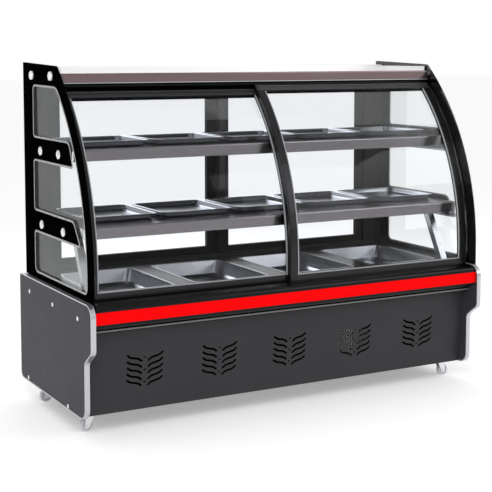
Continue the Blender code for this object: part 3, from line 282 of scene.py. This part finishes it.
give(["end_panel_left", "end_panel_right"], END_PAINT)
give(["front_panel", "rear_panel", "base_frame", "floor_sheet"], PANEL_PAINT)
give(["end_trim_left", "end_trim_right", "lamp_housing"], SILVER)
give(["front_sill", "front_top_track"], BLACK)
give(["front_door_left_frame", "front_door_right_frame", "centre_post"], BLACK_UPRIGHT)
give(["rear_frame", "rear_door_left_frame", "rear_door_right_frame"], REAR_BLACK)
give(["red_strip"], RED)
give(["front_header"], HEADER)
give(["upper_shelf", "lower_shelf"], SHELF_STEEL)
give(["deck_plate"], DECK_STEEL_SHADED)
give(["deck_pan_1", "deck_pan_2", "deck_pan_3", "deck_pan_4"], PAN_STEEL)
give(["strut_left", "strut_right", "tank_liner"], PLAIN_STEEL)
give(["upper_bracket_left", "upper_bracket_right", "lower_bracket_left", "lower_bracket_right"], BRIGHT)
give(["top_panel"], TOP_STEEL)
give(["insulated_tank"], GALVANISED)
give(["side_glass_left", "side_glass_right"], SIDE_GLASS)
give(["front_door_left_glass", "front_door_right_glass"], DOOR_GLASS)
give(["rear_door_left_glass", "rear_door_right_glass"], REAR_GLASS)
give(["lamp_cover"], LENS)
give(["control_panel", "power_inlet", "lamp_switch"], CONTROL)
give(["thermostat_knob"], KNOB)
give(["compressor", "fan_motor", "condenser_fan"], UNIT_BLACK)
give(["condenser", "evaporator"], FINS)
give(["suction_line"], COPPER)
CORNERS = ("front_left", "front_right", "back_left", "back_right")
give(["caster_fork_" + corner for corner in CORNERS], CASTER_METAL)
give(["caster_wheel_" + corner for corner in CORNERS], TREAD)


# ---------------------------------------------------------------- building pieces
def piece(name, data, body, mat):
    obj = bpy.data.objects.new(name, data)
    bpy.context.scene.collection.objects.link(obj)
    obj.data.materials.append(mat)
    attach(obj, body)
    return obj


def from_bmesh(name, bm, body, mat, smooth=None):
    bmesh.ops.recalc_face_normals(bm, faces=bm.faces)
    mesh = bpy.data.meshes.new(name)
    bm.to_mesh(mesh)
    bm.free()
    obj = piece(name, mesh, body, mat)
    if smooth:
        mesh.shade_smooth()
        mesh.set_sharp_from_angle(angle=math.radians(smooth))
    return obj


def bar(name, outline, axis, start, end, body, slot, mat):
    """A closed outline swept straight along an axis; (Y, Z) for X, (X, Z) for Y, (X, Y) for Z."""
    bm = bmesh.new()

    def place(u, v, w):
        return {"X": (w, u, v), "Y": (u, w, v), "Z": (u, v, w)}[axis]

    first = [bm.verts.new(place(u, v, start)) for u, v in outline]
    second = [bm.verts.new(place(u, v, end)) for u, v in outline]
    bm.faces.new(first)
    bm.faces.new(second[::-1])
    for i in range(len(outline)):
        j = (i + 1) % len(outline)
        bm.faces.new((first[j], first[i], second[i], second[j]))
    return from_bmesh(name, bm, body, mat, 35)


def swept(name, path, section, body, mat, smooth=40):
    """A section of (across, out) points carried along a path of (point, across, out) stations."""
    bm = bmesh.new()
    rings = []
    for point, across, out in path:
        point, across, out = Vector(point), Vector(across), Vector(out)
        rings.append([bm.verts.new(point + across * a + out * b) for a, b in section])
    for one, two in zip(rings, rings[1:]):
        for i in range(len(section)):
            j = (i + 1) % len(section)
            bm.faces.new((one[i], one[j], two[j], two[i]))
    bm.faces.new(rings[0][::-1])
    bm.faces.new(rings[-1])
    return from_bmesh(name, bm, body, mat, smooth)


def arc_point(radius, angle):
    return (ARC_Y - radius * math.cos(angle), ARC_BASE + radius * math.sin(angle))


def rounded(corners, steps=5):
    """An outline from (u, v, radius) corners, each radius made an arc."""
    points = []
    for i, (u, v, radius) in enumerate(corners):
        if radius == 0:
            points.append((u, v))
            continue
        before, after = corners[i - 1], corners[(i + 1) % len(corners)]
        back = math.atan2(before[1] - v, before[0] - u)
        ahead = math.atan2(after[1] - v, after[0] - u)
        turn = (ahead - back + math.pi) % (2 * math.pi) - math.pi
        reach = radius / math.tan(abs(turn) / 2)
        far = radius / math.sin(abs(turn) / 2)
        middle = back + turn / 2
        centre = (u + far * math.cos(middle), v + far * math.sin(middle))
        start = (u + reach * math.cos(back), v + reach * math.sin(back))
        sweep = math.copysign(math.pi - abs(turn), -turn)
        angle = math.atan2(start[1] - centre[1], start[0] - centre[0])
        for k in range(steps + 1):
            a = angle + sweep * k / steps
            points.append((centre[0] + radius * math.cos(a), centre[1] + radius * math.sin(a)))
    return points


# ---------------------------------------------------------------- print on the side glass
BORDER = 0.070
WINDOW_R = ARC_RADIUS - BORDER
LINE = 0.0080
INK = 0.00012
WINDOW_BACK = 0.259
WINDOW_TOP = (1.311, 1.307)  # at the back and at the front
WINDOW_LOW = 0.5455
# low, high, Y of the tip's low corner, Y of its high corner
BARS = ((0.7207, 0.800, -0.245, -0.184), (1.0105, 1.096, -0.179, -0.145))
BOLTS = [(y, TOP_PANEL_LOW + 0.009) for y in (0.262, 0.039)]
BOLTS += [(y, UPPER[1][2] - 0.0244) for y in (0.161, -0.045)]
BOLTS += [(y, LOWER[1][2] - 0.0363) for y in (0.156, -0.087)]


def front_y(z, radius):
    rise = max(0.0, z - ARC_BASE)
    return ARC_Y - math.sqrt(radius**2 - rise**2)


def border_outline(margin):
    """The side glass's outline above the board, moved in by a margin, as (Y, Z)."""
    r = ARC_RADIUS - margin
    top = math.asin((HEIGHT - TOP_SLOPE - margin - ARC_BASE) / r)
    start = top - 0.02
    arc = [(*arc_point(r, start * (1 - k / 22)), 0) for k in range(23)]
    back = GLASS_L[1][1] - margin
    low = TRIM_L[1][2] + 0.001
    corners = [(back, low, 0), (back, HEIGHT - margin, 0.006), (*arc_point(r, top), 0.030)]
    corners += [*arc, (ARC_Y - r, low, 0)]
    return rounded(corners, 5)


def window_outline():
    """The clear area: one shape from top to bottom whose back is notched by the two bars."""
    corners = [(front_y(WINDOW_LOW, WINDOW_R), WINDOW_LOW, 0.030), (WINDOW_BACK, WINDOW_LOW, 0.030)]
    for low, high, tip_low, tip_high in BARS:
        corners += [(WINDOW_BACK, low, 0.020), (tip_low, low, 0.003)]
        corners += [(tip_high, high, 0.036), (WINDOW_BACK, high, 0.020)]
    back_top, front_top = WINDOW_TOP
    corners += [(WINDOW_BACK, back_top, 0.026), (front_y(front_top, WINDOW_R) + 0.002, front_top, 0.070)]
    high, low = front_top - 0.035, WINDOW_LOW + 0.030
    run = [high + (low - high) * k / 14 for k in range(15)]
    corners += [(front_y(z, WINDOW_R), z, 0) for z in run]
    return rounded(corners, 5)


def offset(points, distance):
    """A closed outline moved to its left by a distance."""
    moved = []
    for i, (u, v) in enumerate(points):
        before, after = points[i - 1], points[(i + 1) % len(points)]
        first = math.atan2(v - before[1], u - before[0])
        second = math.atan2(after[1] - v, after[0] - u)
        turn = (second - first + math.pi) % (2 * math.pi) - math.pi
        normal = first + turn / 2 + math.pi / 2
        reach = distance / max(0.5, math.cos(turn / 2))
        moved.append((u + reach * math.cos(normal), v + reach * math.sin(normal)))
    return moved


def flat_ring(name, outer, holes, x, thick, body, mat):
    """A thin plate square to X with holes, made by Blender's own outline fill."""
    curve = bpy.data.curves.new(name, "CURVE")
    curve.dimensions = "2D"
    curve.fill_mode = "BOTH"
    curve.extrude = thick / 2
    for loop in (outer, *holes):
        spline = curve.splines.new("POLY")
        spline.points.add(len(loop) - 1)
        for point, (u, v) in zip(spline.points, loop):
            point.co = (u, v, 0, 1)
        spline.use_cyclic_u = True
    holder = bpy.data.objects.new(name, curve)
    bpy.context.scene.collection.objects.link(holder)
    bpy.context.view_layer.update()
    graph = bpy.context.evaluated_depsgraph_get()
    mesh = bpy.data.meshes.new_from_object(holder.evaluated_get(graph))
    bpy.data.objects.remove(holder, do_unlink=True)
    mesh.transform(Matrix(((0, 0, 1, x), (1, 0, 0, 0), (0, 1, 0, 0), (0, 0, 0, 1))))
    bm = bmesh.new()
    bm.from_mesh(mesh)
    bmesh.ops.remove_doubles(bm, verts=bm.verts, dist=1e-6)
    return from_bmesh(name, bm, body, mat)


def circle(u, v, radius, steps=24):
    turn = 2 * math.pi / steps
    return [(u + radius * math.cos(turn * k), v + radius * math.sin(turn * k)) for k in range(steps)]


def glass_print(side, sign):
    """Black border and bars on the outer face of the side glass, with a silver line round the clear part."""
    face = sign * GLASS_R[1][0]
    window = window_outline()
    holes = [circle(y, z, 0.0062) for y, z in BOLTS]
    outer = border_outline(0.0008)
    place = face + sign * 0.00010
    flat_ring(f"print_{side}", outer, [window, *holes], place, INK, "case", PRINT)
    line = [offset(window, LINE)]
    place = face + sign * 0.00026
    flat_ring(f"print_line_{side}", window, line, place, INK, "case", PRINT_LINE)


glass_print("left", -1)
glass_print("right", 1)


# ---------------------------------------------------------------- front doors: beads, seals and painted highlights
def door_path(radius, low, top, steps=30):
    """Stations up a door's face: straight from low, then round the arc to a top angle."""
    stations = [((0, ARC_Y - radius, low), (1, 0, 0), (0, -1, 0))]
    for k in range(steps + 1):
        a = top * k / steps
        y, z = arc_point(radius, a)
        stations.append(((0, y, z), (1, 0, 0), (0, -math.cos(a), math.sin(a))))
    return stations


def door_details(side, radius):
    frame_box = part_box(f"front_door_{side}_frame")
    body = f"front_door_{side}"
    low = frame_box[0][2]
    x0, x1 = frame_box[0][0], frame_box[1][0]
    top = DOOR_TOP
    glass_low = low + RAIL
    glass_top = top - TOP_RAIL / radius
    half = 0.0022
    # light grey seals up the glass's side edges: real seals whose light grey is a painted highlight on the glass edges
    bead = [(-half, -0.0058), (half, -0.0058), (half, -0.0008)]
    bead += [(half * 0.4, 0.0), (-half * 0.4, 0.0), (-half, -0.0008)]
    for label, x in (("a", x0 + STILE + half + 0.0001), ("b", x1 - STILE - half - 0.0001)):
        stations = [((x, p[1], p[2]), a, o) for p, a, o in door_path(radius, glass_low, glass_top)]
        swept(f"door_{side}_seal_{label}", stations, bead, body, SEAL_HIGHLIGHT)
    y = ARC_Y - radius
    rail = (glass_top + 0.0025 / radius, top - 0.0165 / OUTER_DOOR)
    line = rail[1] - 0.0030 / radius
    # the line strip is a thin silver strip on the top rail's upper edge: a painted highlight on that edge
    strips = (("cover", rail[0], line, 0.0005, RAIL_GREY), ("line", line, rail[1], 0.0007, SILVER))
    for label, start, end, lift, mat in strips:
        steps = [start + (end - start) * k / 4 for k in range(5)]
        outside = [arc_point(radius + lift, a) for a in steps]
        inside = [arc_point(radius + 0.0001, a) for a in steps[::-1]]
        ends = (x0 + 0.001, x1 - 0.001)
        bar(f"door_{side}_top_{label}", outside + inside, "X", *ends, body, "black_profile", mat)
    # light grey seal along the glass's foot: a real seal whose light grey is a painted highlight on the glass's lower
    # edge
    low_bead = [(y + 0.0008, glass_low + 0.0001), (y + 0.0062, glass_low + 0.0001)]
    low_bead += [(y + 0.0062, glass_low + 0.0040), (y + 0.0008, glass_low + 0.0026)]
    ends = (x0 + STILE + 0.005, x1 - STILE - 0.005)
    bar(f"door_{side}_seal_low", low_bead, "X", *ends, body, "black_profile", SEAL_HIGHLIGHT)
    ridge_x = x0 + 0.006 if side == "right" else x1 - 0.006
    ridge = [(-0.0016, -0.0002), (0.0016, -0.0002), (0.0012, 0.0011), (0.0, 0.0016), (-0.0012, 0.0011)]
    path = door_path(radius, low + 0.002, top - 0.001)
    stations = [((ridge_x, p[1], p[2]), a, o) for p, a, o in path]
    swept(f"door_{side}_ridge_meet", stations, ridge, body, BLACK_UPRIGHT)
    slot = [(y - 0.0012, low + 0.0012), (y - 0.0002, low + 0.0012)]
    slot += [(y - 0.0002, low + 0.0042), (y - 0.0012, low + 0.0034)]
    ends = (x1 - 0.125, x1 - 0.092) if side == "right" else (x0 + 0.054, x0 + 0.082)
    bar(f"door_{side}_stop", slot, "X", *ends, body, "silver_trim", BRIGHT)


door_details("right", OUTER_DOOR)
door_details("left", INNER_DOOR)


# ---------------------------------------------------------------- shelf trays
def rounded_loop(half_u, half_v, radius, steps=5):
    return rounded(
        [(half_u, -half_v, radius), (half_u, half_v, radius), (-half_u, half_v, radius), (-half_u, -half_v, radius)], steps
    )


def tray(name, x, y, z, half_x, half_y, deep=0.022):
    """A shallow steel tray with a rolled rim, flared walls and a soft corner at its floor."""
    levels = [
        (0.0055, -0.0042),
        (0.0, -0.0032),
        (-0.0014, -0.0012),
        (0.0, 0.0),
        (0.0035, 0.0004),
        (0.0075, -0.0002),
        (0.0092, -0.0026),
        (0.0130, -deep * 0.70),
        (0.0155, -deep * 0.90),
        (0.0205, -deep),
        (0.0600, -deep),
    ]
    bm = bmesh.new()
    rings = []
    for inward, drop in levels:
        loop = rounded_loop(half_x - inward, half_y - inward, max(0.012, 0.030 - inward * 0.4))
        rings.append([bm.verts.new((x + u, y + v, z + deep + drop)) for u, v in loop])
    for upper, lower in zip(rings, rings[1:]):
        for i in range(len(upper)):
            j = (i + 1) % len(upper)
            bm.faces.new((upper[i], upper[j], lower[j], lower[i]))
    bm.faces.new(rings[-1])
    obj = from_bmesh(name, bm, "case", TRAY_STEEL, 50)
    wall = obj.modifiers.new("Sheet", "SOLIDIFY")
    wall.thickness = 0.0007
    wall.offset = -1
    return obj


TRAY_COUNT = 5
TRAY_PITCH = 0.338
TRAY_HALF_LENGTH = 0.158
for label, shelf, half_y in (("upper", UPPER, 0.150), ("lower", LOWER, 0.165)):
    middle = (shelf[0][1] + shelf[1][1]) / 2 - 0.004
    for i in range(TRAY_COUNT):
        x = (i - 2) * TRAY_PITCH
        tray(f"tray_{label}_{i + 1}", x, middle, shelf[1][2] + 0.0012, TRAY_HALF_LENGTH, half_y)


# ---------------------------------------------------------------- fluted rear post covers
def fluted(name, x0, x1, y0, y1, z0, z1, body, flutes=3):
    """A thin cover with vertical flutes on its front face."""
    width = x1 - x0
    points = [(x0, y1), (x1, y1), (x1, y0 + 0.0016)]
    steps = flutes * 6
    for k in range(steps + 1):
        x = x1 - width * k / steps
        depth = 0.0016 * (0.5 - 0.5 * math.cos(2 * math.pi * k / 6))
        points.append((x, y0 + depth))
    points.append((x0, y0 + 0.0016))
    return bar(name, points, "Z", z0, z1, body, "rear_profile", REAR_BLACK)


REAR_FRONT = REAR[0][1]
for side, sign in (("left", -1), ("right", 1)):
    a, b = sorted((sign * 0.772, sign * 0.868))
    fluted(f"rear_post_cover_{side}", a, b, REAR_FRONT - 0.0040, REAR_FRONT - 0.0002, DECK[1][2] + 0.002, 1.311, "case")


# ---------------------------------------------------------------- rear top cap, header lip and the sill bead's painted highlight
WIDE = REAR[1][0]
BETWEEN = GLASS_R[1][0]
rear_top = REAR[1][2]
edge = REAR_FRONT - 0.0018
cap_outline = [
    (edge, rear_top - 0.0046),
    (edge + 0.0014, rear_top - 0.0046),
    (edge + 0.0014, rear_top + 0.0003),
    (REAR[1][1], rear_top + 0.0003),
    (REAR[1][1], rear_top + 0.0018),
    (edge + 0.0008, rear_top + 0.0018),
    (edge, rear_top + 0.0010),
]
bar("rear_top_cap", cap_outline, "X", -WIDE, WIDE, "case", "steel", TOP_STEEL)
lip_y, lip_z = HEADER_BOX[0][1:]
lip = [
    (lip_y + 0.0002, lip_z - 0.0004),
    (lip_y + 0.0002, lip_z - 0.0030),
    (lip_y + 0.0012, lip_z - 0.0036),
    (lip_y + 0.0035, lip_z - 0.0036),
    (lip_y + 0.0035, lip_z - 0.0004),
]
bar("header_lip", lip, "X", -WIDE, WIDE, "case", "silver_trim", SILVER)
# a thin grey strip on the bead under the red strip: a painted highlight on the bead
foot_y = SILL[0][1] + 0.0455
bead_highlight = [
    (foot_y - 0.0008, SILL[0][2] + 0.0045),
    (foot_y - 0.0001, SILL[0][2] + 0.0040),
    (foot_y - 0.0001, SILL[0][2] + 0.0105),
    (foot_y - 0.0008, SILL[0][2] + 0.0100),
]
bar("sill_bead_highlight", bead_highlight, "X", -BETWEEN, BETWEEN, "case", "silver_trim", BEAD_HIGHLIGHT_GREY)

REAR_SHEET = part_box("rear_panel")
LOUVRE_COLUMNS = [-0.10 + 0.155 * k for k in range(4)]
LOUVRE_ROWS = [0.125 + 0.020 * k for k in range(9)]


def louvre_hood(name, x, z):
    """A pressed hood over one louvre slot: it leans out from above the slot and shades it."""
    y = REAR_SHEET[1][1]
    section = [
        (y + 0.0002, z + 0.0105),
        (y + 0.0062, z + 0.0050),
        (y + 0.0062, z - 0.0010),
        (y + 0.0052, z - 0.0010),
        (y + 0.0052, z + 0.0042),
        (y + 0.0002, z + 0.0088),
    ]
    bar(name, section, "X", x - 0.004, x + 0.124, "case", "panel_paint", PANEL_PAINT)


for column, x in enumerate(LOUVRE_COLUMNS):
    for row, z in enumerate(LOUVRE_ROWS):
        louvre_hood(f"louvre_hood_{column + 1}_{row + 1}", x, z)


# ---------------------------------------------------------------- small parts
def button(name, centre, radius, height, axis_sign, body, mat):
    """A low domed cap standing out along X."""
    bm = bmesh.new()
    profile = [(1.0, 0.0), (1.0, 0.35), (0.93, 0.72), (0.72, 0.92), (0.4, 1.0)]
    rings = []
    for r, h in profile:
        ring = []
        for k in range(24):
            a = 2 * math.pi * k / 24
            ring.append(
                bm.verts.new(
                    (
                        centre[0] + axis_sign * height * h,
                        centre[1] + radius * r * math.cos(a),
                        centre[2] + radius * r * math.sin(a),
                    )
                )
            )
        rings.append(ring)
    for one, two in zip(rings, rings[1:]):
        for i in range(24):
            bm.faces.new((one[i], one[(i + 1) % 24], two[(i + 1) % 24], two[i]))
    bm.faces.new(rings[0])
    bm.faces.new(rings[-1])
    return from_bmesh(name, bm, body, mat, 40)


CAPS = ((0.282, 0.461), (0.008, 0.456), (-0.263, 0.452), (0.311, 0.094), (-0.150, 0.090))
CAP_RADIUS = 0.0088
CAP_PROUD = 0.0008
BOARD_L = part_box("end_panel_left")
BOARD_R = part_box("end_panel_right")


def sunk_cap(side, index, y, z):
    """A cap pressed flush into the board: its rim lies just proud of the face, inside the overall length."""
    sign = -1 if side == "left" else 1
    face = BOARD_L[0][0] if sign < 0 else BOARD_R[1][0]
    centre = (face + sign * 0.0001, y, z)
    name = f"screw_cap_{side}_{index}"
    return button(name, centre, CAP_RADIUS, CAP_PROUD, sign, "case", CAP)


# ---------------------------------------------------------------- control marks
KNOB_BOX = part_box("thermostat_knob")
PANEL_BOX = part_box("control_panel")
knob_x = (KNOB_BOX[0][0] + KNOB_BOX[1][0]) / 2
knob_z = (KNOB_BOX[0][2] + KNOB_BOX[1][2]) / 2
for k in range(9):
    angle = math.radians(90 + 33.75 * k)
    u, v = math.cos(angle), math.sin(angle)
    inner_r, outer_r = 0.0175, 0.0175 + (0.005 if k % 2 == 0 else 0.003)
    wide = 0.0005
    quad = [
        (knob_x + u * inner_r - v * wide, knob_z + v * inner_r + u * wide),
        (knob_x + u * outer_r - v * wide, knob_z + v * outer_r + u * wide),
        (knob_x + u * outer_r + v * wide, knob_z + v * outer_r - u * wide),
        (knob_x + u * inner_r + v * wide, knob_z + v * inner_r - u * wide),
    ]
    panel_face = PANEL_BOX[1][1]
    ends = (panel_face + 0.0001, panel_face + 0.0004)
    bar(f"dial_mark_{k}", quad, "Y", *ends, "case", "black_plastic", MARK)


# ---------------------------------------------------------------- floor, lights and camera
def stage_floor():
    bm = bmesh.new()
    bmesh.ops.create_grid(bm, x_segments=8, y_segments=8, size=60.0)
    mesh = bpy.data.meshes.new("floor")
    bm.to_mesh(mesh)
    bm.free()
    floor = bpy.data.objects.new("floor", mesh)
    bpy.context.scene.collection.objects.link(floor)
    mat, tree, shader = new_material("pale_floor")
    varied(tree, shader, (0.90, 0.90, 0.90), 0.01, noise(tree, 1.5))
    shader.inputs["Roughness"].default_value = 0.8
    shader.inputs["Specular IOR Level"].default_value = 0.1
    shader.inputs["Emission Color"].default_value = (1.0, 1.0, 1.0, 1.0)
    shader.inputs["Emission Strength"].default_value = 0.32
    floor.data.materials.append(mat)
    floor.location.z = -0.0005


def area(name, place, target, size, power, colour=(1, 1, 1)):
    data = bpy.data.lights.new(name, "AREA")
    data.shape = "RECTANGLE"
    data.size, data.size_y = size
    data.energy = power
    data.color = colour
    obj = bpy.data.objects.new(name, data)
    obj.location = place
    obj.rotation_euler = (Vector(target) - Vector(place)).to_track_quat("-Z", "Y").to_euler()
    bpy.context.scene.collection.objects.link(obj)


def lights():
    area("key_light", (-2.2, -3.6, 3.4), (0, 0, 0.7), (2.4, 1.6), 58)
    area("fill_light", (3.0, -3.2, 2.4), (0, 0, 0.6), (2.5, 2.0), 34)
    area("back_light", (0.5, 3.6, 2.8), (0, 0, 0.9), (3.5, 2.0), 50)
    world = bpy.data.worlds.new("studio")
    world.use_nodes = True
    tree = world.node_tree
    sky = tree.nodes["Background"]
    sky.inputs["Color"].default_value = (1.0, 1.0, 1.0, 1.0)
    sky.inputs["Strength"].default_value = 0.70
    seen = node(tree, "ShaderNodeBackground", Strength=1.0)
    seen.inputs["Color"].default_value = (1.0, 1.0, 1.0, 1.0)
    path = tree.nodes.new("ShaderNodeLightPath")
    mix = tree.nodes.new("ShaderNodeMixShader")
    tree.links.new(path.outputs["Is Camera Ray"], mix.inputs["Fac"])
    tree.links.new(sky.outputs[0], mix.inputs[1])
    tree.links.new(seen.outputs[0], mix.inputs[2])
    tree.links.new(mix.outputs[0], tree.nodes["World Output"].inputs["Surface"])
    bpy.context.scene.world = world
    bpy.context.scene.view_settings.view_transform = "Standard"


def camera():
    data = bpy.data.cameras.new("camera")
    data.sensor_width = 36.0
    data.lens = 88.626
    data.shift_y = -0.1684
    obj = bpy.data.objects.new("camera", data)
    obj.location = (-2.4875, -4.4466, 1.4329)
    obj.rotation_euler = (math.radians(90 - 5.160), 0.0, math.radians(-28.839))
    bpy.context.scene.collection.objects.link(obj)
    bpy.context.scene.camera = obj


for number, (cap_y, cap_z) in enumerate(CAPS):
    for cap_side in ("left", "right"):
        sunk_cap(cap_side, number + 1, cap_y, cap_z)

stage_floor()
lights()
camera()
